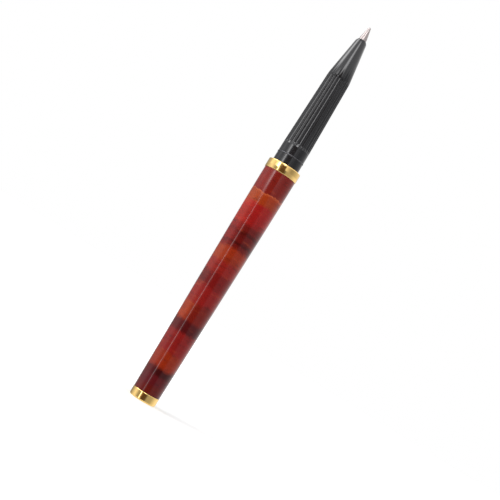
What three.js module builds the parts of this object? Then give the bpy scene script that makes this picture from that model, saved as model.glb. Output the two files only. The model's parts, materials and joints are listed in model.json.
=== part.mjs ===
// A rollerball pen without its cap, standing on its tail. Millimetres, +Z up the pen's axis to the point.
// The barrel is a banded resin sleeve on a brass tube, with a gilt ferrule at the tail and a gilt ring at
// the mouth. The black section screws into the mouth and holds a standard refill, pushed by a spring.
import * as THREE from "three";

// Clearances.
const PRESS_GAP = 0.02; // between pieces pressed or bonded together
const FACE_GAP = 0.02; // between faces that bear on each other
const RUNNING_GAP = 0.1; // between pieces that slide or turn on each other
const POINT_GAP = 0.05; // round the point where it leaves the nose
const CORE_GAP = 0.25; // between the refill and the barrel's core tube

// Refill, a bought-in standard size that the pen is built round.
const REFILL_LENGTH = 110.7;
const REFILL_R = 3;
const REFILL_WALL = 0.25;
const END_PLUG_FLANGE = 1;
const END_PLUG_DEPTH = 4;
const VENT_R = 0.4;
const SHEATH_WALL = 0.12;
const RESERVOIR_SPARE = 1; // free length at each end of the fibre rod
const CASING_TO_END = 25.5; // from the casing's front to the pen's end
const NECK_PLUG_DEPTH = 4;
const NECK_FLANGE = 0.5;
const NECK_TAPER = 2;
const NECK_STEP_TO_END = 14.5;
const NECK_STEP = 0.45; // drop in radius at the neck's step, and the same in length
const NECK_NOSE_WALL = 0.34;
const NECK_NOSE_TO_END = 8.7; // the shoulder that bears inside the section's nose
const POINT_R = 1.14;
const POINT_SEAT = 5; // how far the point is pressed into the neck
const POINT_CONE = 3.65;
const POINT_RIM = 0.07; // wall of the point round its ball
const WICK_R = 0.55;
const WICK_IN_RESERVOIR = 8;
const WICK_TO_END = 2;
const INK_CHANNEL_R = 0.2;
const BALL_R = 0.35;
const BALL_SHOWS = 0.25; // how far the ball stands out of the point
const BALL_GAP = 0.02;
const BALL_LIP = 0.005; // how far the rim closes in over the ball

// Lengths of the section's outside, from the point back to the barrel.
const POINT_SHOWS = 4.56;
const BEVEL_LENGTH = 0.74;
const NOSE_LENGTH = 12.33;
const FLUTE_LENGTH = 24.43;
const COLLAR_LENGTH = 6.09; // plain back of the section

// Walls and steps of the section.
const NOSE_WALL = 0.6; // where the nose meets its end bevel
const NOSE_RIM = 0.16; // at the bevel's end
const COLLAR_WALL = 0.58; // over the nipple
const COLLAR_TAPER = 0.05;
const GRIP_TAPER = 0.59;
const FLUTES = 26;
const FLUTE_DEPTH = 0.16;
const FLUTE_RUN_OUT = 0.8; // length over which a flute fades at each end
const SNAP_RING_BACK = 2.9; // from the section's back face to the ring
const SNAP_RING_WIDTH = 0.3;
const SNAP_RING_DEPTH = 0.2;
const SNAP_RING_PROUD = 0.06;

// Screw joint between the section and the barrel.
const THREAD_WALL = 0.7; // crests of the nipple's thread over its bore
const THREAD_LENGTH = 7;
const THREAD_CHAMFER = 0.2;
const NIPPLE_WALL = 0.5;
const NIPPLE_BACK = 9; // how far the nipple reaches into the barrel
const NIPPLE_SEAT = 12; // how far it is pressed into the section
const BUSH_WALL = 0.4;
const BUSH_LENGTH = 12.85;
const BUSH_LIP = 2.5; // narrow back of the bush, behind its thread

// Barrel.
const RING_LENGTH = 2.87;
const RING_PROUD = 0.165;
const RING_ROUND = 0.2;
const SLEEVE_MOUTH_WALL = 0.69;
const SLEEVE_TAIL_WALL = 0.55;
const SLEEVE_STRAIGHT = 15.98; // from the mouth back to where the taper's two tangents meet
const CORE_WALL = 0.3;
const CORE_TO_BUSH = 0.4;
const FERRULE_LENGTH = 2.65;
const FERRULE_PROUD = 0.06;
const FERRULE_ROUND = 0.5;
const FERRULE_FLOOR = 0.7;
const PLUG_LENGTH = 4.4;
const SPIGOT_LENGTH = 1.6;
const STUD_R = 0.9;
const STUD_HOLE_SPARE = 0.3; // hole left past the stud's end
const STUD_HOLE_FLOOR = 0.7; // plug left past the hole

// Spring.
const SPRING_LENGTH = 11.18; // squeezed between the tail plug and the refill
const SPRING_WIRE_R = 0.2;
const SPRING_SIDE_ROOM = 0.95; // from the coil to the core tube's bore
const SPRING_SPIGOT_ROOM = 0.2; // from the coil to the plug's spigot
const SPRING_TURNS = 9;
const SPRING_STEPS_PER_TURN = 12;
const SPRING_SIDES = 6;

// Sides and steps of the round shapes.
const SIDES = 36;
const SMALL_SIDES = 20;
const ARC_STEPS = 3;
const TAPER_STEPS = 8;
const BALL_SIDES = 12;
const BALL_RINGS = 8;

// Heights that follow, from the tail face up.
const coreStart = FERRULE_FLOOR + FACE_GAP;
const plugEnd = coreStart + PLUG_LENGTH;
const studHoleEnd = plugEnd - STUD_HOLE_FLOOR;
const studEnd = studHoleEnd - STUD_HOLE_SPARE;
const refillStart = plugEnd + SPRING_LENGTH;
const penEnd = refillStart + REFILL_LENGTH;
const sectionEnd = penEnd - POINT_SHOWS;
const noseEnd = sectionEnd - BEVEL_LENGTH;
const fluteEnd = noseEnd - NOSE_LENGTH;
const fluteStart = fluteEnd - FLUTE_LENGTH;
const ringEnd = fluteStart - COLLAR_LENGTH;
const sleeveEnd = ringEnd - RING_LENGTH;
const sectionStart = ringEnd + FACE_GAP;
const snapRingStart = sectionStart + SNAP_RING_BACK;
const snapRingEnd = snapRingStart + SNAP_RING_WIDTH;
const bushStart = ringEnd - BUSH_LENGTH;
const coreEnd = bushStart - CORE_TO_BUSH;
const threadStart = ringEnd - NIPPLE_BACK;
const threadEnd = threadStart + THREAD_LENGTH;
const nippleEnd = sectionStart + NIPPLE_SEAT;
const casingStart = refillStart + END_PLUG_FLANGE;
const casingEnd = penEnd - CASING_TO_END;
const endPlugEnd = casingStart + END_PLUG_DEPTH;
const neckPlugStart = casingEnd - NECK_PLUG_DEPTH;
const reservoirStart = endPlugEnd + RESERVOIR_SPARE;
const reservoirEnd = neckPlugStart - RESERVOIR_SPARE;
const neckStart = casingEnd + FACE_GAP;
const neckTaperStart = neckStart + NECK_FLANGE;
const neckTaperEnd = neckTaperStart + NECK_TAPER;
const neckStepStart = penEnd - NECK_STEP_TO_END;
const neckStepEnd = neckStepStart + NECK_STEP;
const neckEnd = penEnd - NECK_NOSE_TO_END;
const pointStart = neckEnd - POINT_SEAT;
const pointEnd = penEnd - BALL_SHOWS;
const pointConeStart = pointEnd - POINT_CONE;
const wickStart = reservoirEnd - WICK_IN_RESERVOIR;
const wickEnd = penEnd - WICK_TO_END;
const ballZ = penEnd - BALL_R;

// Radii that follow, from the refill out.
const casingBoreR = REFILL_R - REFILL_WALL;
const sheathR = casingBoreR - PRESS_GAP;
const reservoirR = sheathR - SHEATH_WALL - PRESS_GAP;
const wickBoreR = WICK_R + PRESS_GAP;
const ballSocketR = BALL_R + BALL_GAP;
const ballSeat = ballZ - ballSocketR;
const neckNoseR = POINT_R + PRESS_GAP + NECK_NOSE_WALL;
const neckR = neckNoseR + NECK_STEP;
const pointWayR = POINT_R + POINT_GAP;
const bevelEndR = pointWayR + NOSE_RIM;
const noseEndR = pointWayR + NOSE_WALL;
const refillWayR = REFILL_R + RUNNING_GAP;
const nippleSeatR = refillWayR + NIPPLE_WALL;
const collarBackR = nippleSeatR + PRESS_GAP + COLLAR_WALL;
const gripR = collarBackR - COLLAR_TAPER;
const gripEndR = gripR - GRIP_TAPER;
const threadR = refillWayR + THREAD_WALL;
const threadBoreR = threadR + RUNNING_GAP;
const bushR = threadBoreR + BUSH_WALL;
const bushSeatR = bushR + PRESS_GAP;
const sleeveMouthR = bushSeatR + SLEEVE_MOUTH_WALL;
const ringR = sleeveMouthR + RING_PROUD;
const coreBoreR = REFILL_R + CORE_GAP;
const coreR = coreBoreR + CORE_WALL;
const coreSeatR = coreR + PRESS_GAP;
const sleeveTailR = coreSeatR + SLEEVE_TAIL_WALL;
const ferruleR = sleeveTailR + FERRULE_PROUD;
const springR = coreBoreR - SPRING_SIDE_ROOM - SPRING_WIRE_R;
const spigotR = springR - SPRING_WIRE_R - SPRING_SPIGOT_ROOM;

// Finishes.
const finish = (color, roughness, metalness) =>
  new THREE.MeshStandardMaterial({ color, roughness, metalness });
const gilt = finish(0xd9b45a, 0.15, 1);
const brass = finish(0xb5934a, 0.35, 1);
const steel = finish(0xc2bdb8, 0.25, 1);
const resin = finish(0x84241e, 0.12, 0);
const blackPlastic = finish(0x1c1c1f, 0.25, 0);
const whitePlastic = finish(0xe4e4e0, 0.5, 0);
const inkyFibre = finish(0x27305e, 0.95, 0);
const film = finish(0xf0f0ee, 0.3, 0);

const at = (r, z) => new THREE.Vector2(r, z);

// A body of revolution from its outline in radius and height, drawn anticlockwise. An outline that starts
// on the axis ends on it, and any other is closed here.
function turned(outline, sides = SIDES) {
  const closed = outline[0].x === 0 ? outline : [...outline, outline[0]];
  return new THREE.LatheGeometry(closed, sides).rotateX(Math.PI / 2);
}

function sleeve(inner, outer, start, end) {
  return turned([at(inner, start), at(outer, start), at(outer, end), at(inner, end)]);
}

function rod(r, start, end) {
  return turned([at(0, start), at(r, start), at(r, end), at(0, end)], SMALL_SIDES);
}

// Points of an arc in an outline, in quarter turns from the outward direction.
function arc(r, z, radius, fromQuarter, toQuarter) {
  const quarter = Math.PI / 2;
  const curve = new THREE.EllipseCurve(
    r, z, radius, radius, fromQuarter * quarter, toQuarter * quarter);
  return curve.getPoints(ARC_STEPS);
}

function piece(name, geometry, material) {
  const mesh = new THREE.Mesh(geometry, material);
  mesh.name = name;
  return mesh;
}

// Barrel.

function tailFerrule() {
  return turned([
    at(0, 0),
    ...arc(ferruleR - FERRULE_ROUND, FERRULE_ROUND, FERRULE_ROUND, -1, 0),
    at(ferruleR, FERRULE_LENGTH),
    at(coreSeatR, FERRULE_LENGTH),
    at(coreSeatR, FERRULE_FLOOR),
    at(0, FERRULE_FLOOR),
  ]);
}

function barrelSleeve() {
  const start = FERRULE_LENGTH + FACE_GAP;
  const taper = new THREE.QuadraticBezierCurve(
    at(sleeveTailR, start),
    at(sleeveMouthR, sleeveEnd - SLEEVE_STRAIGHT),
    at(sleeveMouthR, sleeveEnd),
  );
  return turned([
    at(coreSeatR, start),
    ...taper.getPoints(TAPER_STEPS),
    at(bushSeatR, sleeveEnd),
    at(bushSeatR, bushStart - FACE_GAP),
    at(coreSeatR, bushStart - FACE_GAP),
  ]);
}

function barrelBush() {
  return turned([
    at(coreBoreR, bushStart),
    at(bushR, bushStart),
    at(bushR, ringEnd),
    at(threadBoreR, ringEnd),
    at(threadBoreR, bushStart + BUSH_LIP),
    at(coreBoreR, bushStart + BUSH_LIP),
  ]);
}

function centreRing() {
  const start = sleeveEnd + FACE_GAP;
  const edgeR = ringR - RING_ROUND;
  return turned([
    at(bushSeatR, start),
    ...arc(edgeR, start + RING_ROUND, RING_ROUND, -1, 0),
    ...arc(edgeR, ringEnd - RING_ROUND, RING_ROUND, 0, 1),
    at(bushSeatR, ringEnd),
  ]);
}

function tailPlug() {
  const holeR = STUD_R + PRESS_GAP;
  const plugR = coreBoreR - PRESS_GAP;
  return turned([
    at(0, studHoleEnd),
    at(holeR, studHoleEnd),
    at(holeR, coreStart),
    at(plugR, coreStart),
    at(plugR, plugEnd),
    at(spigotR, plugEnd),
    at(spigotR, plugEnd + SPIGOT_LENGTH),
    at(0, plugEnd + SPIGOT_LENGTH),
  ]);
}

class Helix extends THREE.Curve {
  constructor(radius, start, end, turns) {
    super();
    Object.assign(this, { radius, start, end, turns });
  }

  getPoint(t, target = new THREE.Vector3()) {
    const angle = t * this.turns * 2 * Math.PI;
    return target.set(
      this.radius * Math.cos(angle),
      this.radius * Math.sin(angle),
      THREE.MathUtils.lerp(this.start, this.end, t),
    );
  }
}

function refillSpring() {
  const inset = SPRING_WIRE_R + FACE_GAP;
  const path = new Helix(springR, plugEnd + inset, refillStart - inset, SPRING_TURNS);
  const wire = new THREE.Shape(
    new THREE.EllipseCurve(0, 0, SPRING_WIRE_R, SPRING_WIRE_R).getPoints(SPRING_SIDES).slice(1),
  );
  return new THREE.ExtrudeGeometry(wire, {
    steps: SPRING_TURNS * SPRING_STEPS_PER_TURN,
    extrudePath: path,
    bevelEnabled: false,
  });
}

// Section.

// Radius of the plain collar at a height.
function collarR(z) {
  return THREE.MathUtils.mapLinear(z, sectionStart, fluteStart, collarBackR, gripR);
}

// Radius of the fluted grip's crests at a height.
function crestR(z) {
  return THREE.MathUtils.mapLinear(z, fluteStart, fluteEnd, gripR, gripEndR);
}

// Sinks every second side line of the grip's outside into a flute that fades at both ends.
function cutFlutes(geometry) {
  const position = geometry.getAttribute("position");
  const tolerance = 0.01;
  for (let i = 0; i < position.count; i++) {
    const [x, y, z] = [position.getX(i), position.getY(i), position.getZ(i)];
    const r = Math.hypot(x, y);
    const fade = Math.min(z - fluteStart, fluteEnd - z) / FLUTE_RUN_OUT;
    if (Math.abs(r - crestR(z)) > tolerance || fade <= 0) continue;
    const wave = (1 - Math.cos(FLUTES * Math.atan2(y, x))) / 2;
    const scale = 1 - (FLUTE_DEPTH * Math.min(fade, 1) * wave) / r;
    position.setXY(i, x * scale, y * scale);
  }
  return geometry;
}

function gripSection() {
  const grooveR = collarR(snapRingStart) - SNAP_RING_DEPTH;
  const nippleWayR = nippleSeatR + PRESS_GAP;
  const neckWayR = neckR + RUNNING_GAP;
  const noseWayR = neckNoseR + RUNNING_GAP;
  const outside = [
    at(collarBackR, sectionStart),
    at(collarR(snapRingStart), snapRingStart - FACE_GAP),
    at(grooveR, snapRingStart - FACE_GAP),
    at(grooveR, snapRingEnd + FACE_GAP),
    at(collarR(snapRingEnd), snapRingEnd + FACE_GAP),
    at(gripR, fluteStart),
    at(crestR(fluteStart + FLUTE_RUN_OUT), fluteStart + FLUTE_RUN_OUT),
    at(crestR(fluteEnd - FLUTE_RUN_OUT), fluteEnd - FLUTE_RUN_OUT),
    at(gripEndR, fluteEnd),
    at(noseEndR, noseEnd),
    at(bevelEndR, sectionEnd),
  ];
  const inside = [
    at(pointWayR, sectionEnd),
    at(pointWayR, neckEnd + FACE_GAP),
    at(noseWayR, neckEnd + FACE_GAP),
    at(noseWayR, neckStepEnd + RUNNING_GAP),
    at(neckWayR, neckStepStart + RUNNING_GAP),
    at(neckWayR, neckTaperEnd + RUNNING_GAP),
    at(refillWayR, neckTaperStart + RUNNING_GAP),
    at(refillWayR, nippleEnd + FACE_GAP),
    at(nippleWayR, nippleEnd + FACE_GAP),
    at(nippleWayR, sectionStart),
  ];
  return cutFlutes(turned([...outside, ...inside], FLUTES * 2));
}

function snapRing() {
  const bore = collarR(snapRingStart) - SNAP_RING_DEPTH + PRESS_GAP;
  return sleeve(bore, collarBackR + SNAP_RING_PROUD, snapRingStart, snapRingEnd);
}

function sectionNipple() {
  return turned([
    at(refillWayR, threadStart),
    at(threadR - THREAD_CHAMFER, threadStart),
    at(threadR, threadStart + THREAD_CHAMFER),
    at(threadR, threadEnd - THREAD_CHAMFER),
    at(nippleSeatR, threadEnd),
    at(nippleSeatR, nippleEnd),
    at(refillWayR, nippleEnd),
  ]);
}

// Refill.

function refillEndPlug() {
  const plugR = casingBoreR - PRESS_GAP;
  return turned([
    at(VENT_R, refillStart),
    at(REFILL_R, refillStart),
    at(REFILL_R, casingStart - FACE_GAP),
    at(plugR, casingStart - FACE_GAP),
    at(plugR, endPlugEnd),
    at(VENT_R, endPlugEnd),
  ]);
}

function inkReservoir() {
  return turned([
    at(0, reservoirStart),
    at(reservoirR, reservoirStart),
    at(reservoirR, reservoirEnd),
    at(wickBoreR, reservoirEnd),
    at(wickBoreR, wickStart - FACE_GAP),
    at(0, wickStart - FACE_GAP),
  ]);
}

function refillNeck() {
  const plugR = casingBoreR - PRESS_GAP;
  const pointSeatR = POINT_R + PRESS_GAP;
  return turned([
    at(wickBoreR, neckPlugStart),
    at(plugR, neckPlugStart),
    at(plugR, neckStart),
    at(REFILL_R, neckStart),
    at(REFILL_R, neckTaperStart),
    at(neckR, neckTaperEnd),
    at(neckR, neckStepStart),
    at(neckNoseR, neckStepEnd),
    at(neckNoseR, neckEnd),
    at(pointSeatR, neckEnd),
    at(pointSeatR, pointStart - FACE_GAP),
    at(wickBoreR, pointStart - FACE_GAP),
  ]);
}

function tipCone() {
  return turned([
    at(wickBoreR, pointStart),
    at(POINT_R, pointStart),
    at(POINT_R, pointConeStart),
    at(BALL_R + POINT_RIM, pointEnd),
    at(BALL_R - BALL_LIP, pointEnd),
    at(ballSocketR, ballZ),
    at(ballSocketR, ballSeat),
    at(INK_CHANNEL_R, ballSeat),
    at(INK_CHANNEL_R, wickEnd + FACE_GAP),
    at(wickBoreR, wickEnd + FACE_GAP),
  ], SMALL_SIDES);
}

function writingBall() {
  return new THREE.SphereGeometry(BALL_R, BALL_SIDES, BALL_RINGS).translate(0, 0, ballZ);
}

const barrel = new THREE.Group().add(
  piece("tail_ferrule", tailFerrule(), gilt),
  piece("barrel_sleeve", barrelSleeve(), resin),
  piece("barrel_core_tube", sleeve(coreBoreR, coreR, coreStart, coreEnd), brass),
  piece("barrel_bush", barrelBush(), brass),
  piece("centre_ring", centreRing(), gilt),
  piece("tail_plug", tailPlug(), brass),
  piece("tail_stud", rod(STUD_R, coreStart, studEnd), brass),
  piece("refill_spring", refillSpring(), steel),
);

const section = new THREE.Group().add(
  piece("grip_section", gripSection(), blackPlastic),
  piece("snap_ring", snapRing(), steel),
  piece("section_nipple", sectionNipple(), brass),
);

const refill = new THREE.Group().add(
  piece("refill_tube", sleeve(casingBoreR, REFILL_R, casingStart, casingEnd), steel),
  piece("refill_end_plug", refillEndPlug(), blackPlastic),
  piece("reservoir_sheath", sleeve(sheathR - SHEATH_WALL, sheathR, reservoirStart, reservoirEnd), film),
  piece("ink_reservoir", inkReservoir(), inkyFibre),
  piece("feed_wick", rod(WICK_R, wickStart, wickEnd), inkyFibre),
  piece("refill_neck", refillNeck(), whitePlastic),
  piece("tip_cone", tipCone(), steel),
  piece("writing_ball", writingBall(), steel),
);

const pen = new THREE.Group().add(barrel, section, refill);
export default pen;
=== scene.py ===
"""A rollerball pen without its cap: a banded tortoise barrel, gilt fittings, and a fluted black section."""
import json
import math

import bmesh
import bpy
from mathutils import Matrix, Vector


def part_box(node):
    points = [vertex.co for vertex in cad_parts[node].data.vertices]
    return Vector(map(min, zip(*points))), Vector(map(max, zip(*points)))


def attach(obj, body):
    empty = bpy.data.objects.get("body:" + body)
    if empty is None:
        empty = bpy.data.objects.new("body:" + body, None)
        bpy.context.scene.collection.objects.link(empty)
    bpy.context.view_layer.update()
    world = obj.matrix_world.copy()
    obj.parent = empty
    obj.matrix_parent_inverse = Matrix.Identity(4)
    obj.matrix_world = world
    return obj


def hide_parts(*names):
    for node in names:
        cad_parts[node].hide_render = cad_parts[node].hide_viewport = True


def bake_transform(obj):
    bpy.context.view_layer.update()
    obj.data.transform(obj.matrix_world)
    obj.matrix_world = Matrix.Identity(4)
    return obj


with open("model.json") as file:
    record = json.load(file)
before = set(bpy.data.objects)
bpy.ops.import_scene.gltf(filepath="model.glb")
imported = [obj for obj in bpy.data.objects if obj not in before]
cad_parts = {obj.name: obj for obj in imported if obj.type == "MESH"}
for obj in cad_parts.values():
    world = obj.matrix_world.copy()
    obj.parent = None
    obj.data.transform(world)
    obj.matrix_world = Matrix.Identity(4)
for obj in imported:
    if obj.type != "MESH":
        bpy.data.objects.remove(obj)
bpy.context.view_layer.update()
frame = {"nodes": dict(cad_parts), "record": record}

MM = 0.001
BODIES = frame["record"]["behaviour"]["bodies"]

# Camera: it stands a little below the pen's middle, looks up by PITCH, and is rolled so that the pen leans.
AIM_HEIGHT = 52.66 * MM
DISTANCE = 318 * MM
LENS = 79.2
PITCH = math.radians(3.6)
LEAN = math.radians(31.48)
AIM_RIGHT = -3.49 * MM
AIM_UP = 1.94 * MM
SENSOR_WIDTH = 36

# How finely the turned pieces are drawn.
SIDES = 144
SMALL_SIDES = 72
BALL_SIDES, BALL_RINGS = 48, 32
ARC_STEPS = 5  # to each rounded corner

# How far a rounded corner may reach along its stretches, and its guard points.
MOST_TRIM = 0.45
GUARD = 0.5
MOST_GUARD = 0.04

# What counts as a corner, and as one and the same place.
CORNER = math.radians(28)
SAME_LINE = 0.999999
ON_AXIS = 1e-7
WELD = 1e-7
SAME_PLACE = 2e-7

# The section's flutes, as they are cut in the frame.
FLUTES = 26
FLUTE_DEPTH = 0.17 * MM
COLLAR_LENGTH = 6.09 * MM
FLUTE_LENGTH = 24.43 * MM
FLUTE_FADE = 0.9 * MM
FLUTE_SIDES = FLUTES * 14
FADE_STEPS = 8
SECTION_EDGE = 0.1 * MM
NOSE_EDGE = 1.6 * MM  # the rounding of the nose's end bevel
NOSE_EDGE_LENGTH = 1.0 * MM
WALL_MARGIN = 0.3 * MM  # keeps the section's way and bore out of its flutes

# The screw thread.
THREAD_PITCH = 1.0 * MM
THREAD_DEPTH = 0.3 * MM
THREAD_LENGTH = 7.0 * MM
THREAD_STEPS = 16  # rings to each turn of the thread
THREAD_START = 0.2 * MM
THREAD_FADE = 0.6 * MM
THREAD_EDGE = 0.06 * MM
CREST_MARGIN = 0.05 * MM  # points within this of the nipple's crest are cut
BORE_MARGIN = 0.02 * MM  # and within this of the bush's bore
DIVIDE_MARGIN = 0.01 * MM
VEE_STEEPNESS = 1.15  # over 1 leaves a flat at the groove's root
BUSH_THREAD_BELOW = 0.9 * MM  # how far the bush's thread runs on below the nipple
BUSH_THREAD_TOP = 3.2 * MM  # its end, below the bush's top

# The spring.
SPRING_TURNS = 9
CLOSED_TURNS = 1.25  # flat turns at each end
WIRE_SIDES = 12
WIRE_RADIUS = 0.2 * MM
COIL_POINTS = 40  # to each turn


# ---------------------------------------------------------------- node graphs

class Field:
    """A socket whose number varies, so that Python's operators add Math nodes."""

    def __init__(self, tree, socket):
        self.tree = tree
        self.socket = socket

    def math(self, operation, *values):
        node = self.tree.nodes.new("ShaderNodeMath")
        node.operation = operation
        for socket, value in zip(node.inputs, values):
            fill(self.tree, socket, value)
        return Field(self.tree, node.outputs[0])

    def __add__(self, other):
        return self.math("ADD", self, other)

    def __radd__(self, other):
        return self.math("ADD", other, self)

    def __sub__(self, other):
        return self.math("SUBTRACT", self, other)

    def __rsub__(self, other):
        return self.math("SUBTRACT", other, self)

    def __mul__(self, other):
        return self.math("MULTIPLY", self, other)

    def __rmul__(self, other):
        return self.math("MULTIPLY", other, self)

    def __truediv__(self, other):
        return self.math("DIVIDE", self, other)

    def __rtruediv__(self, other):
        return self.math("DIVIDE", other, self)

    def __pow__(self, other):
        return self.math("POWER", self, other)

    def least(self, other):
        return self.math("MINIMUM", self, other)

    def most(self, other):
        return self.math("MAXIMUM", self, other)

    def clamped(self):
        return self.most(0).least(1)


def fill(tree, socket, value):
    """Gives a socket a link or a plain value."""
    if isinstance(value, Field):
        tree.links.new(value.socket, socket)
    else:
        socket.default_value = value


class Graph:
    """Adds nodes to a tree."""

    def __init__(self, tree):
        self.tree = tree

    def node(self, kind, sockets=(), output=0, stops=(), **settings):
        """A node with its settings and stops made first, then its sockets. Returns the chosen output."""
        made = self.tree.nodes.new(kind)
        for name, value in settings.items():
            setattr(made, name, value)
        if stops:
            set_stops(made.color_ramp, stops)
        for key, value in dict(sockets).items():
            fill(self.tree, made.inputs[key], value)
        return Field(self.tree, made.outputs[output])

    def parts(self, vector):
        """The X, Y and Z fields of a vector."""
        node = self.tree.nodes.new("ShaderNodeSeparateXYZ")
        fill(self.tree, node.inputs[0], vector)
        return [Field(self.tree, socket) for socket in node.outputs]

    def vector(self, x, y, z):
        return self.node("ShaderNodeCombineXYZ", {0: x, 1: y, 2: z})

    def mix(self, factor, a, b):
        """Mixes two colours."""
        return self.node("ShaderNodeMix", {0: factor, 6: a, 7: b}, output=2, data_type="RGBA")

    def noise(self, position, scale, detail=2.0, roughness=0.5):
        return self.node("ShaderNodeTexNoise",
                         {"Vector": position, "Scale": scale, "Detail": detail, "Roughness": roughness})

    def ramp(self, value, stops):
        return self.node("ShaderNodeValToRGB", {0: value}, stops=stops)


def set_stops(ramp, stops):
    """Gives a colour ramp its stops, each a place and a colour."""
    while len(ramp.elements) > 1:
        ramp.elements.remove(ramp.elements[-1])
    for i, (place, colour) in enumerate(stops):
        element = ramp.elements[0] if i == 0 else ramp.elements.new(place)
        element.position = place
        element.color = (*colour, 1.0)


def linear(red, green, blue):
    """A colour given as it looks on a screen, 0 to 255, in the renderer's linear values."""
    def one(c):
        c /= 255
        return c / 12.92 if c <= 0.04045 else ((c + 0.055) / 1.055) ** 2.4
    return one(red), one(green), one(blue)


def rgba(colour):
    return (*colour, 1.0)


# ---------------------------------------------------------------- finishes

class Finish(Graph):
    """A material, with its shader's plain sockets set."""

    def __init__(self, name, **plain):
        self.material = bpy.data.materials.new(name)
        self.material.use_nodes = True
        super().__init__(self.material.node_tree)
        self.shader = self.tree.nodes["Principled BSDF"]
        for key, value in plain.items():
            self.set(key.replace("_", " ").title().replace("Ior", "IOR"), value)
        self.place = self.node("ShaderNodeTexCoord", output="Object")

    def set(self, socket, value):
        fill(self.tree, self.shader.inputs[socket], value)

    def bump(self, height, strength, distance):
        self.set("Normal", self.node(
            "ShaderNodeBump", {"Height": height, "Strength": strength, "Distance": distance}))

    def round_the_pen(self):
        """Angle about the pen's axis, in turns, and the height."""
        x, y, z = self.parts(self.place)
        turn = x.math("ARCTAN2", y, x) / (2 * math.pi)
        return turn, z


def gilt():
    """Polished gold plate, with faint polishing lines round the pen."""
    f = Finish("gilt", metallic=1.0)
    turn, z = f.round_the_pen()
    lines = f.noise(f.vector(turn * 6, 0, z * 9000), 1.0, detail=3)
    haze = f.noise(f.place, 500, detail=4)
    f.set("Base Color", f.mix(haze, rgba((0.94, 0.62, 0.21)), rgba((0.97, 0.68, 0.26))))
    f.set("Roughness", 0.05 + lines * 0.04 + haze * 0.04)
    f.bump(lines, 0.08, 0.00001)
    return f.material


def brass():
    """Turned brass, left bare inside the pen."""
    f = Finish("turned_brass", metallic=1.0)
    turn, z = f.round_the_pen()
    cuts = f.noise(f.vector(turn * 2, 0, z * 7000), 1.0, detail=4)
    tarnish = f.noise(f.place, 260, detail=5, roughness=0.6)
    f.set("Base Color", f.mix(tarnish, rgba((0.66, 0.45, 0.17)), rgba((0.80, 0.60, 0.28))))
    f.set("Roughness", 0.24 + cuts * 0.12 + tarnish * 0.08)
    f.bump(cuts, 0.2, 0.00002)
    return f.material


def steel(name="turned_steel", colour=(0.66, 0.62, 0.60), roughness=0.2, line_bump=0.2):
    """Bright steel with fine turning lines."""
    f = Finish(name, metallic=1.0)
    turn, z = f.round_the_pen()
    cuts = f.noise(f.vector(turn * 3, 0, z * 11000), 1.0, detail=3)
    cloud = f.noise(f.place, 700, detail=3)
    darker = tuple(0.86 * c for c in colour)
    f.set("Base Color", f.mix(cloud, rgba(darker), rgba(colour)))
    f.set("Roughness", roughness + cuts * 0.12 + cloud * 0.05)
    f.bump(cuts, line_bump, 0.00002)
    return f.material


# The barrel's bands from its tail: the length in mm, the colour, and the colour on the side that faces left,
# which is painted light: that side made lighter and more orange, as the key lamp lights it.
BANDS = [
    (2.65, linear(92, 19, 13), linear(96, 19, 18)),
    (2.9, linear(86, 16, 22), linear(90, 15, 24)),
    (2.5, linear(58, 8, 11), linear(88, 9, 12)),
    (5.0, linear(135, 37, 13), linear(138, 37, 10)),
    (6.8, linear(128, 23, 21), linear(130, 22, 18)),
    (3.4, linear(74, 11, 15), linear(88, 15, 16)),
    (5.7, linear(108, 22, 14), linear(152, 50, 14)),
    (5.7, linear(128, 23, 21), linear(134, 27, 20)),
    (4.7, linear(110, 17, 16), linear(100, 21, 20)),
    (3.9, linear(131, 27, 22), linear(138, 31, 22)),
    (4.35, linear(140, 40, 16), linear(150, 51, 18)),
    (1.3, linear(98, 17, 14), linear(120, 21, 16)),
    (1.0, linear(70, 8, 8), linear(100, 15, 14)),
    (2.5, linear(94, 14, 12), linear(126, 23, 18)),
    (1.1, linear(72, 9, 8), linear(112, 17, 16)),
    (2.5, linear(100, 19, 16), linear(134, 22, 18)),
    (6.75, linear(145, 23, 22), linear(165, 35, 22)),
    (3.0, linear(148, 50, 18), linear(156, 59, 18)),
    (0.4, linear(176, 79, 44), linear(180, 87, 48)),
    (7.2, linear(115, 26, 20), linear(128, 27, 20)),
]
# The left colour of each band is painted light, the band as it looks lit on its left side.
RIGHT_COLOUR, PAINTED_LIT_COLOUR = 1, 2  # places in each band
BAND_EDGE = 1.2 * MM  # the softest edge between two bands
BAND_EDGE_SHARE = 0.7  # and the most that it takes of the shorter band


def banded(f, ragged, which):
    """The bands' colours along the barrel, those of one side: the plain right side or the left side with its
    painted light.
    """
    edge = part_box("barrel_sleeve")[0].z
    colour = rgba(BANDS[0][which])
    for before, after in zip(BANDS, BANDS[1:]):
        edge += before[0] * MM
        softness = min(BAND_EDGE, BAND_EDGE_SHARE * MM * min(before[0], after[0]))
        colour = f.mix(((ragged - edge) / softness + 0.5).clamped(), colour, rgba(after[which]))
    return colour


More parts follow.
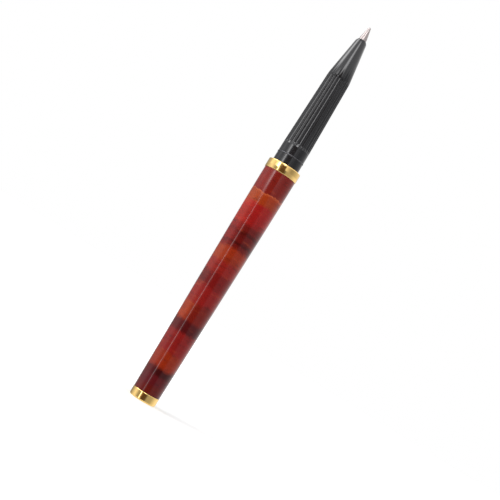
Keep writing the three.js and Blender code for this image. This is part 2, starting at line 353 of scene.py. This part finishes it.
def tortoise():
    """Glossy resin in bands across the barrel, with ragged edges and flecks of other browns and reds, and
    painted light: its left side is made lighter and more orange, as lit.
    """
    f = Finish("tortoise_resin", ior=1.4)
    x, y, z = f.parts(f.place)
    broad = f.noise(f.place, 330, detail=3) - 0.5
    fine = f.noise(f.place, 1500, detail=4, roughness=0.6) - 0.5
    ragged = z + broad * (2.4 * MM) + fine * (1.2 * MM)
    # Painted light: how far round toward the lit left side a point lies, which moves the colour to the
    # lighter left-side band colours.
    painted_lit_side = ((0 - x) / MM * 0.45 - 0.3 + broad * 0.8).clamped()
    colour = f.mix(painted_lit_side, banded(f, ragged, RIGHT_COLOUR), banded(f, ragged, PAINTED_LIT_COLOUR))
    # Flecks drawn out round the barrel, darker and lighter than the band that they lie in; the lighter flecks
    # are painted stronger on the lit left side, as painted light.
    flecks = f.noise(f.vector(x * 240, y * 240, z * 800), 1.0, detail=4, roughness=0.55)
    dark = ((flecks - 0.56) * 6).clamped()
    light = ((0.42 - flecks) * 6).clamped()
    colour = f.mix(dark * 0.5, colour, rgba(linear(60, 12, 14)))
    colour = f.mix(light * (0.25 + painted_lit_side * 0.2), colour, rgba(linear(172, 74, 34)))
    cloud = f.noise(f.vector(x * 150, y * 150, z * 260), 1.0, detail=2)
    colour = f.mix(((cloud - 0.5) * 3).clamped() * 0.35, colour, rgba(linear(84, 16, 18)))
    f.set("Base Color", colour)
    f.set("Roughness", 0.05 + f.noise(f.place, 700, detail=3) * 0.05)
    f.bump(broad, 0.03, 0.00002)
    return f.material


def black_plastic():
    """Moulded black plastic, glossy, with a fine orange-peel skin."""
    f = Finish("black_plastic", ior=1.5)
    skin = f.noise(f.place, 2200, detail=3)
    wear = f.noise(f.place, 240, detail=5, roughness=0.65)
    f.set("Base Color", f.mix(wear, rgba((0.008, 0.008, 0.009)), rgba((0.014, 0.014, 0.017))))
    f.set("Roughness", 0.09 + wear * 0.1)
    f.bump(skin, 0.04, 0.00001)
    return f.material


def white_plastic():
    """Natural moulded plastic, slightly grainy."""
    f = Finish("white_plastic", ior=1.46)
    grain = f.noise(f.place, 1800, detail=4)
    stain = f.noise(f.place, 180, detail=3)
    f.set("Base Color", f.mix(stain, rgba((0.70, 0.71, 0.70)), rgba((0.80, 0.80, 0.78))))
    f.set("Roughness", 0.42 + grain * 0.15)
    f.bump(grain, 0.12, 0.00002)
    return f.material


def film():
    """Thin glossy film wrapped round the ink reservoir."""
    f = Finish("film", ior=1.45)
    turn, z = f.round_the_pen()
    creases = f.noise(f.vector(turn * 20, 0, z * 300), 1.0, detail=5, roughness=0.6)
    f.set("Base Color", f.mix(creases, rgba((0.62, 0.66, 0.74)), rgba((0.82, 0.84, 0.86))))
    f.set("Roughness", 0.16 + creases * 0.16)
    f.bump(creases, 0.3, 0.00005)
    return f.material


def inky_fibre():
    """Lengthwise fibres soaked in blue-black ink."""
    f = Finish("inky_fibre", ior=1.4)
    x, y, z = f.parts(f.place)
    strands = f.noise(f.vector(x * 9000, y * 9000, z * 350), 1.0, detail=3)
    soaked = f.noise(f.place, 220, detail=4)
    f.set("Base Color", f.mix(soaked, rgba((0.012, 0.016, 0.060)), rgba((0.035, 0.045, 0.130))))
    f.set("Roughness", 0.62 + strands * 0.25)
    f.bump(strands, 0.7, 0.00008)
    return f.material


# ---------------------------------------------------------------- turned pieces

def outline(node):
    """The section of a turned CAD piece as points of radius and height, anticlockwise."""
    shape = bmesh.new()
    shape.from_mesh(frame["nodes"][node].data)
    bmesh.ops.remove_doubles(shape, verts=shape.verts, dist=WELD)
    for normal in ((0, 1, 0), (1, 0, 0)):
        bmesh.ops.bisect_plane(
            shape, geom=shape.verts[:] + shape.edges[:] + shape.faces[:], dist=WELD,
            plane_co=(0, 0, 0), plane_no=normal)
    joined = {}
    for edge in shape.edges:
        a, b = ((round(v.co.x, 8), round(v.co.z, 8)) for v in edge.verts)
        flat = all(abs(v.co.y) < SAME_PLACE and v.co.x > -SAME_PLACE for v in edge.verts)
        if flat and a != b and max(a[0], b[0]) > SAME_PLACE:
            joined.setdefault(a, set()).add(b)
            joined.setdefault(b, set()).add(a)
    shape.free()
    ends = [point for point, others in joined.items() if len(others) == 1]
    path = [min(ends or joined, key=lambda point: point[1])]
    while True:
        onward = [point for point in joined[path[-1]] if point not in path]
        if not onward:
            break
        path.append(onward[0])
    path = [Vector(point) for point in path]
    loops = zip(path, path[1:] + path[:1])
    if sum(a.x * b.y - b.x * a.y for a, b in loops) < 0:
        path.reverse()
    return [point for i, point in enumerate(path) if not straight(path, i)]


def straight(path, i):
    """True where a point lies on the line between its neighbours."""
    before, here, after = path[i - 1], path[i], path[(i + 1) % len(path)]
    if here.x < ON_AXIS:
        return False
    way_in, way_out = (here - before).normalized(), (after - here).normalized()
    return way_in.dot(way_out) > SAME_LINE


def softened(path, radius, tip_radius=None, tip=None):
    """The outline with its corners rounded, as a turned or moulded edge is.

    Corners above the height tip, where it is given, take tip_radius.
    """
    soft = []
    for i, here in enumerate(path):
        before, after = path[i - 1], path[(i + 1) % len(path)]
        way_in, way_out = here - before, after - here
        corner = way_in.angle(way_out, 0)
        if here.x < ON_AXIS or corner < CORNER:
            soft.append(here)
            continue
        rounding = tip_radius if tip is not None and here.y > tip else radius
        trim = min(rounding * math.tan(corner / 2), MOST_TRIM * way_in.length, MOST_TRIM * way_out.length)
        start, end = here - way_in.normalized() * trim, here + way_out.normalized() * trim
        # A point just outside each end of the arc keeps the shading of the straight stretch flat.
        soft.append(start - way_in.normalized() * min(GUARD * trim, MOST_GUARD * way_in.length))
        for step in range(ARC_STEPS + 1):
            t = step / ARC_STEPS
            soft.append(start * (1 - t) ** 2 + here * (2 * t * (1 - t)) + end * t ** 2)
        soft.append(end + way_out.normalized() * min(GUARD * trim, MOST_GUARD * way_out.length))
    return soft


def divided(path, start, end, step, least):
    """The outline with points no further apart than a step between two heights, outside a radius."""
    dense = []
    for here, after in zip(path, path[1:] + path[:1]):
        dense.append(here)
        if min(here.x, after.x) < least or abs(after.y - here.y) < step:
            continue
        cuts = int(math.ceil(abs(after.y - here.y) / step))
        for cut in range(1, cuts):
            point = here.lerp(after, cut / cuts)
            if start - step < point.y < end + step:
                dense.append(point)
    return dense


def turned_mesh(name, path, sides, cut=None):
    """A mesh spun from an outline, as one ring or one pole to each point.

    cut says how much of a groove each outline point may take, from 0 to 1.
    """
    on_axis = [point.x < ON_AXIS for point in path]
    closed = not any(on_axis)
    verts, rings, cuts = [], [], []
    for point, pole in zip(path, on_axis):
        count = 1 if pole else sides
        rings.append(range(len(verts), len(verts) + count))
        for side in range(count):
            turn = 2 * math.pi * side / sides
            verts.append((point.x * math.cos(turn), point.x * math.sin(turn), point.y))
            cuts.append(cut(point) if cut else 0.0)
    faces = []
    pairs = list(zip(rings, rings[1:] + rings[:1]))
    for low, high in pairs if closed else pairs[:-1]:
        for side in range(sides):
            following = (side + 1) % sides
            corners = [low[side % len(low)], low[following % len(low)],
                       high[following % len(high)], high[side % len(high)]]
            face = list(dict.fromkeys(corners))
            if len(face) > 2:
                faces.append(face)
    mesh = bpy.data.meshes.new(name)
    mesh.from_pydata(verts, [], faces)
    mesh.attributes.new("cut", "FLOAT", "POINT").data.foreach_set("value", cuts)
    mesh.shade_smooth()
    mesh.validate()
    return mesh


def new_object(name, mesh):
    made = bpy.data.objects.new(name, mesh)
    bpy.context.scene.collection.objects.link(made)
    return made


def stand_in(made, node, material):
    """Makes an object ride and finish as the CAD piece that it replaces."""
    made.data.materials.clear()
    made.data.materials.append(material)
    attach(made, next(body for body, nodes in BODIES.items() if node in nodes))
    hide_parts(node)
    return made


def turned(name, node, material, edge=0.08 * MM, sides=SIDES):
    """A finely turned piece in place of a CAD node, with its edges eased."""
    path = softened(outline(node), edge)
    return stand_in(new_object(name, turned_mesh(name, path, sides)), node, material)


# ---------------------------------------------------------------- shapes made by rule

class Shape(Graph):
    """A Geometry Nodes tree with named inputs."""

    def __init__(self, name, **inputs):
        tree = bpy.data.node_groups.new(name, "GeometryNodeTree")
        super().__init__(tree)
        tree.interface.new_socket("Geometry", in_out="INPUT", socket_type="NodeSocketGeometry")
        kinds = {float: "NodeSocketFloat", int: "NodeSocketInt"}
        self.inputs = {}
        for label, value in inputs.items():
            socket = tree.interface.new_socket(
                label.replace("_", " "), in_out="INPUT", socket_type=kinds[type(value)])
            socket.default_value = value
            self.inputs[label] = socket.identifier
        finish = tree.interface.new_socket("Finish", in_out="INPUT", socket_type="NodeSocketMaterial")
        self.inputs["finish"] = finish.identifier
        tree.interface.new_socket("Geometry", in_out="OUTPUT", socket_type="NodeSocketGeometry")
        self.group = tree.nodes.new("NodeGroupInput")
        self.values = inputs

    def input(self, label):
        place = 0 if label == "geometry" else 1 + [*self.values, "finish"].index(label)
        return Field(self.tree, self.group.outputs[place])

    def end(self, geometry):
        real = self.node("GeometryNodeRealizeInstances", {0: geometry})
        painted = self.node("GeometryNodeSetMaterial", {"Geometry": real, "Material": self.input("finish")})
        fill(self.tree, self.tree.nodes.new("NodeGroupOutput").inputs[0], painted)

    def grow(self, name, mesh, material):
        """The shape as a plain mesh object."""
        seed = new_object(name + "_seed", mesh)
        modifier = seed.modifiers.new("shape", "NODES")
        modifier.node_group = self.tree
        for label, value in self.values.items():
            modifier[self.inputs[label]] = value
        modifier[self.inputs["finish"]] = material
        evaluated = seed.evaluated_get(bpy.context.evaluated_depsgraph_get())
        made = new_object(name, bpy.data.meshes.new_from_object(evaluated))
        bpy.data.objects.remove(seed)
        made.data.name = name
        return made


def grooves(name, profile, **inputs):
    """Grooves cut all round a turned piece, straight or helical, inwards unless the depth is negative.

    profile gives the share of the depth from the place across one groove, 0 to 1.
    """
    s = Shape(name, **inputs)
    place = s.node("GeometryNodeInputPosition")
    x, y, z = s.parts(place)
    radius = (x * x + y * y) ** 0.5
    across = x.math("FRACT", s.input("starts") * x.math("ARCTAN2", y, x) / (2 * math.pi)
                    + z * s.input("turns_per_metre"))
    fade = (z - s.input("start")).least(s.input("end") - z) / s.input("fade")
    may_cut = s.node("GeometryNodeInputNamedAttribute", {"Name": "cut"}, data_type="FLOAT")
    sink = s.input("depth") * profile(across) * fade.clamped() * may_cut / radius
    offset = s.vector(0 - x * sink, 0 - y * sink, 0)
    moved = s.node("GeometryNodeSetPosition", {"Geometry": s.input("geometry"), "Offset": offset})
    s.end(moved)
    return s


def grip_section(material):
    """The black section: plain collar, scalloped flutes with sharp crests, and a smooth nose."""
    nose_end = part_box("grip_section")[1].z
    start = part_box("centre_ring")[1].z + COLLAR_LENGTH
    end = start + FLUTE_LENGTH
    path = softened(outline("grip_section"), SECTION_EDGE, NOSE_EDGE, nose_end - NOSE_EDGE_LENGTH)
    bore = (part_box("section_nipple")[1].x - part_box("section_nipple")[0].x) / 2
    least = bore - WALL_MARGIN
    path = divided(path, start, start + FLUTE_FADE, FLUTE_FADE / FADE_STEPS, least)
    path = divided(path, end - FLUTE_FADE, end, FLUTE_FADE / FADE_STEPS, least)
    path = divided(path, start, end, FLUTE_FADE, least)
    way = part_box("refill_tube")[1].x + WALL_MARGIN
    outside = {tuple(point) for point in path if start < point.y < end and point.x > way}
    flutes = grooves(
        "flutes", lambda across: 1 - (2 * across - 1) ** 2.0,
        starts=float(FLUTES), turns_per_metre=0.0, depth=FLUTE_DEPTH, start=start, end=end, fade=FLUTE_FADE)
    mesh = turned_mesh(
        "grip_section_base", path, FLUTE_SIDES, lambda point: float(tuple(point) in outside))
    return stand_in(flutes.grow("fluted_grip", mesh, material), "grip_section", material)


def nipple_thread(material):
    """The brass nipple, with a right-handed thread turned on its free end."""
    low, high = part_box("section_nipple")
    end = low.z + THREAD_LENGTH
    crest = high.x - CREST_MARGIN
    path = softened(outline("section_nipple"), THREAD_EDGE)
    path = divided(path, low.z, end, THREAD_PITCH / THREAD_STEPS, crest - DIVIDE_MARGIN)
    thread = grooves(
        "outer_thread", vee, starts=1.0, turns_per_metre=-1 / THREAD_PITCH, depth=THREAD_DEPTH,
        start=low.z + THREAD_START, end=end - THREAD_START, fade=THREAD_FADE)
    mesh = turned_mesh("nipple_base", path, SMALL_SIDES, lambda point: float(point.x > crest))
    return stand_in(thread.grow("threaded_nipple", mesh, material), "section_nipple", material)


def bush_thread(material):
    """The brass bush, with the same thread cut outward into its bore."""
    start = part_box("section_nipple")[0].z - BUSH_THREAD_BELOW
    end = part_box("barrel_bush")[1].z - BUSH_THREAD_TOP
    path = softened(outline("barrel_bush"), THREAD_EDGE)
    bore = min(point.x for point in path if point.y > end)
    path = divided(path, start, end, THREAD_PITCH / THREAD_STEPS, 0.5 * bore)
    thread = grooves(
        "inner_thread", vee, starts=1.0, turns_per_metre=-1 / THREAD_PITCH, depth=-THREAD_DEPTH,
        start=start + THREAD_START, end=end, fade=THREAD_FADE)
    mesh = turned_mesh(
        "bush_base", path, SMALL_SIDES,
        lambda point: float(abs(point.x - bore) < BORE_MARGIN and start < point.y < end))
    return stand_in(thread.grow("threaded_bush", mesh, material), "barrel_bush", material)


def vee(across):
    """A V groove with a narrow flat at its root."""
    from_middle = 2 * across - 1
    return (VEE_STEEPNESS - from_middle.math("ABSOLUTE", from_middle) * VEE_STEEPNESS).clamped()


def spring(material):
    """The coil spring, its end turns wound flat against the plug and the refill."""
    low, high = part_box("refill_spring")
    s = Shape("coil_spring", turns=float(SPRING_TURNS), mean_radius=high.x - WIRE_RADIUS,
              wire_radius=WIRE_RADIUS, length=high.z - low.z, points=SPRING_TURNS * COIL_POINTS)
    line = s.node("GeometryNodeCurvePrimitiveLine")
    line = s.node("GeometryNodeResampleCurve", {"Curve": line, "Count": s.input("points")})
    along = s.node("GeometryNodeSplineParameter")
    angle = along * s.input("turns") * (2 * math.pi)
    flat = CLOSED_TURNS / SPRING_TURNS
    rise = ((along - flat) / (1 - 2 * flat)).clamped()
    ends = 4 * s.input("wire_radius")
    shut = along.least(flat) / flat + (along - (1 - flat)).most(0) / flat
    height = s.input("wire_radius") + shut * s.input("wire_radius") * 2 + rise * (
        s.input("length") - 2 * s.input("wire_radius") - ends)
    place = s.vector(s.input("mean_radius") * angle.math("COSINE", angle),
                     s.input("mean_radius") * angle.math("SINE", angle), height)
    coil = s.node("GeometryNodeSetPosition", {"Geometry": line, "Position": place})
    ring = s.node("GeometryNodeCurvePrimitiveCircle",
                  {"Resolution": WIRE_SIDES, "Radius": s.input("wire_radius")})
    wire = s.node("GeometryNodeCurveToMesh", {"Curve": coil, "Profile Curve": ring, "Fill Caps": True})
    s.end(s.node("GeometryNodeSetShadeSmooth", {"Geometry": wire}))
    made = s.grow("wound_spring", bpy.data.meshes.new("seed"), material)
    made.data.transform(Matrix.Translation((0, 0, low.z)))
    made.data.materials.clear()
    made.data.materials.append(material)
    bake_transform(made)
    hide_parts("refill_spring")
    return made


def ball(material):
    """The writing ball, as a true sphere inside the size of the CAD ball."""
    low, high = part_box("writing_ball")
    shape = bmesh.new()
    bmesh.ops.create_uvsphere(
        shape, u_segments=BALL_SIDES, v_segments=BALL_RINGS, radius=(high.x - low.x) / 2)
    bmesh.ops.translate(shape, verts=shape.verts, vec=(0, 0, (low.z + high.z) / 2))
    mesh = bpy.data.meshes.new("round_ball")
    shape.to_mesh(mesh)
    shape.free()
    mesh.shade_smooth()
    return stand_in(new_object("round_ball", mesh), "writing_ball", material)


# ---------------------------------------------------------------- the pen

def pen():
    """Every piece of the pen."""
    gold, brown, black = gilt(), tortoise(), black_plastic()
    bare_brass, bright, white, inky = brass(), steel(), white_plastic(), inky_fibre()
    turned("gilt_ferrule", "tail_ferrule", gold, 0.25 * MM)
    turned("banded_barrel", "barrel_sleeve", brown, 0.12 * MM)
    turned("gilt_centre_ring", "centre_ring", gold, 0.1 * MM)
    turned("core_tube", "barrel_core_tube", bare_brass, sides=SMALL_SIDES)
    turned("plug", "tail_plug", bare_brass, sides=SMALL_SIDES)
    turned("stud", "tail_stud", bright, 0.1 * MM, SMALL_SIDES)
    bush_thread(bare_brass)
    spring(steel("spring_wire", (0.62, 0.63, 0.66), 0.16))
    grip_section(black)
    nipple_thread(bare_brass)
    turned("wire_snap_ring", "snap_ring", steel("dark_wire", (0.12, 0.12, 0.13), 0.32), 0.06 * MM)
    turned("refill_body", "refill_tube", steel("refill_steel", (0.70, 0.70, 0.71), 0.28), 0.1 * MM)
    turned("refill_end", "refill_end_plug", white, 0.12 * MM, SMALL_SIDES)
    turned("reservoir_film", "reservoir_sheath", film(), 0.03 * MM, SMALL_SIDES)
    turned("ink_fibre", "ink_reservoir", inky, 0.1 * MM, SMALL_SIDES)
    turned("wick", "feed_wick", inky, 0.05 * MM, SMALL_SIDES)
    turned("refill_nose", "refill_neck", white, 0.1 * MM, SMALL_SIDES)
    tip = steel("tip_steel", (0.33, 0.29, 0.285), 0.26, 0.05)
    turned("steel_tip", "tip_cone", tip, 0.03 * MM, SMALL_SIDES)
    ball(steel("ball_steel", (0.55, 0.54, 0.55), 0.12, 0.05))


# ---------------------------------------------------------------- the studio

# The tent's brightness by the angle round the pen from the camera, in degrees, left negative. Each belt of
# the tent starts to show at its first height and has taken over at its second, in metres.
TENT = [
    (None, None, [
        (-180, 0.45), (-144, 0.30), (-116, 0.60), (-97, 0.90), (-81, 1.10), (-67, 0.80), (-54, 0.42),
        (-41, 0.42), (-35.2, 0.6), (-34.2, 4.2), (-30.8, 4.2), (-29.5, 0.8), (-20, 0.14), (-10, 0.07),
        (12, 0.07), (19, 0.16), (29, 0.44), (54, 0.46), (67, 0.48), (81, 0.65), (97, 0.85), (116, 1.05),
        (144, 1.10), (180, 0.60)]),
    (0.13, 0.16, [
        (-180, 0.50), (-144, 0.40), (-116, 0.60), (-97, 1.30), (-81, 1.10), (-67, 0.90), (-54, 1.8),
        (-46, 3.8), (-42, 7.2), (-37, 7.2), (-33, 1.6), (-28, 0.4), (-17, 0.10), (8, 0.08), (12, 0.2),
        (16, 1.0), (20, 0.95), (29, 0.70), (41, 0.50), (54, 0.36), (67, 0.38), (97, 0.60), (116, 0.75),
        (144, 0.95), (180, 0.50)]),
    (0.32, 0.42, [
        (-180, 1.0), (-120, 1.2), (-106, 3.0), (-98, 7.5), (-82, 7.5), (-72, 3.0), (-60, 1.6), (-30, 1.5),
        (-18, 2.5), (-11, 7.0), (1, 7.0), (8, 3.0), (16, 1.2), (40, 1.3), (90, 1.4), (140, 1.5), (180, 1.0)]),
]
TENT_RADIUS = 0.70
TENT_LOW = -0.35
TENT_HIGH = 1.1
TENT_MOST = 7.5
TENT_SIDES = 180
GAP_MOST = 0.15  # stops darker than this are the tent's warm dark gap

# The floor, which lies just under the pen's foot and is lifted to white beyond it.
FLOOR_HALF = 3.0
FLOOR_DROP = 0.02 * MM
LIFT_START = 0.03
LIFT_WIDTH = 0.5
LIFT_NEAR = 0.25
LIFT_FAR = 0.56

LAMP_AIM = (0, 0, 0.06)

# The world's light on everything that isn't the camera, a reflection or a view through something clear.
WORLD_LIGHT = 0.55


def cloth(value):
    """A stop's colour: the tent's dark gap is a warm brown, and the rest is white."""
    share = value / TENT_MOST
    return (1.6 * share, share, 0.6 * share) if value < GAP_MOST else (share, share, share)


def tent_glow(g):
    """The tent's brightness, as a share of the most, from the angle and the height."""
    x, y, z = g.parts(g.node("ShaderNodeTexCoord", output="Object"))
    turn = x.math("ARCTAN2", x, 0 - y) / (2 * math.pi) + 0.5
    glow = None
    for start, full, stops in TENT:
        belt = g.ramp(turn, [(0.5 + angle / 360, cloth(value)) for angle, value in stops])
        glow = belt if glow is None else g.mix(((z - start) / (full - start)).clamped(), glow, belt)
    return glow


def tent():
    """A glowing cloth cylinder round the pen, which only reflections see."""
    verts, faces = [], []
    for i in range(TENT_SIDES):
        angle = 2 * math.pi * i / TENT_SIDES
        for z in (TENT_LOW, TENT_HIGH):
            verts.append((TENT_RADIUS * math.cos(angle), TENT_RADIUS * math.sin(angle), z))
    for i in range(TENT_SIDES):
        j = (i + 1) % TENT_SIDES
        faces.append((2 * i, 2 * i + 1, 2 * j + 1, 2 * j))
    mesh = bpy.data.meshes.new("light_tent")
    mesh.from_pydata(verts, [], faces)
    material = bpy.data.materials.new("tent_cloth")
    material.use_nodes = True
    g = Graph(material.node_tree)
    glow = g.node("ShaderNodeEmission", {"Color": tent_glow(g), "Strength": TENT_MOST})
    fill(g.tree, g.tree.nodes["Material Output"].inputs["Surface"], glow)
    mesh.materials.append(material)
    made = new_object("light_tent", mesh)
    made.visible_camera = False
    made.visible_diffuse = False
    made.visible_shadow = False
    return made


def floor():
    """A plain pale floor, which shows white to the camera beyond the pen's shadow."""
    mesh = bpy.data.meshes.new("floor")
    corners = [(-1, -1), (1, -1), (1, 1), (-1, 1)]
    mesh.from_pydata([(FLOOR_HALF * x, FLOOR_HALF * y, 0) for x, y in corners], [], [(0, 1, 2, 3)])
    f = Finish("floor_white", roughness=0.9, emission_strength=1.0)
    x, y, z = f.parts(f.place)
    speck = f.noise(f.place, 60)
    f.set("Base Color", f.mix(speck, rgba((0.90, 0.90, 0.90)), rgba((0.93, 0.93, 0.93))))
    seen = f.node("ShaderNodeLightPath", output="Is Camera Ray")
    far = (((x * x + y * y) ** 0.5 - LIFT_START) / LIFT_WIDTH).clamped()
    lift = f.mix(far, rgba([LIFT_NEAR] * 3), rgba([LIFT_FAR] * 3))
    f.set("Emission Color", f.mix(seen, rgba((0, 0, 0)), lift))
    mesh.materials.append(f.material)
    made = new_object("floor", mesh)
    made.location.z = -FLOOR_DROP
    made.visible_glossy = False
    return made


def lamp(name, size, place, power):
    """A soft rectangular lamp aimed at the pen's middle, which reflections don't see."""
    light = bpy.data.lights.new(name, "AREA")
    light.shape = "RECTANGLE"
    light.size, light.size_y = size
    light.energy = power
    made = bpy.data.objects.new(name, light)
    made.location = place
    made.visible_glossy = False
    made.rotation_euler = (Vector(LAMP_AIM) - Vector(place)).to_track_quat("-Z", "Y").to_euler()
    bpy.context.scene.collection.objects.link(made)
    return made


def background():
    """White to the camera, to reflections and through clear things; soft to everything else."""
    world = bpy.data.worlds.new("studio")
    bpy.context.scene.world = world
    world.use_nodes = True
    g = Graph(world.node_tree)
    rays = g.tree.nodes.new("ShaderNodeLightPath")
    seen = Field(g.tree, rays.outputs["Is Camera Ray"])
    seen = seen.most(Field(g.tree, rays.outputs["Is Glossy Ray"]))
    seen = seen.most(Field(g.tree, rays.outputs["Is Transmission Ray"]))
    light = g.tree.nodes["Background"]
    light.inputs["Color"].default_value = (1, 1, 1, 1)
    fill(g.tree, light.inputs["Strength"], WORLD_LIGHT + seen * (1 - WORLD_LIGHT))


def camera():
    """The photograph's camera: level with the pen's lower half, looking a little up, and rolled."""
    up_axis = Vector((0, -math.sin(PITCH), math.cos(PITCH)))
    back = Vector((0, -math.cos(PITCH), -math.sin(PITCH)))
    right = math.sin(LEAN) * up_axis + math.cos(LEAN) * Vector((1, 0, 0))
    up = math.cos(LEAN) * up_axis - math.sin(LEAN) * Vector((1, 0, 0))
    place = Vector((0, 0, AIM_HEIGHT)) - AIM_RIGHT * right - AIM_UP * up + DISTANCE * back
    lens = bpy.data.cameras.new("photo")
    lens.lens = LENS
    lens.sensor_width = SENSOR_WIDTH
    lens.clip_start = 0.01
    made = bpy.data.objects.new("photo", lens)
    made.matrix_world = Matrix.Translation(place) @ Matrix((right, up, back)).transposed().to_4x4()
    bpy.context.scene.collection.objects.link(made)
    bpy.context.scene.camera = made


pen()
floor()
tent()
lamp("key_lamp", size=(0.35, 0.5), place=(-0.52, -0.30, 0.30), power=2.6)
lamp("fill_lamp", size=(0.5, 0.5), place=(0.50, -0.50, 0.40), power=1.8)
background()
camera()
bpy.context.scene.view_settings.view_transform = "Standard"
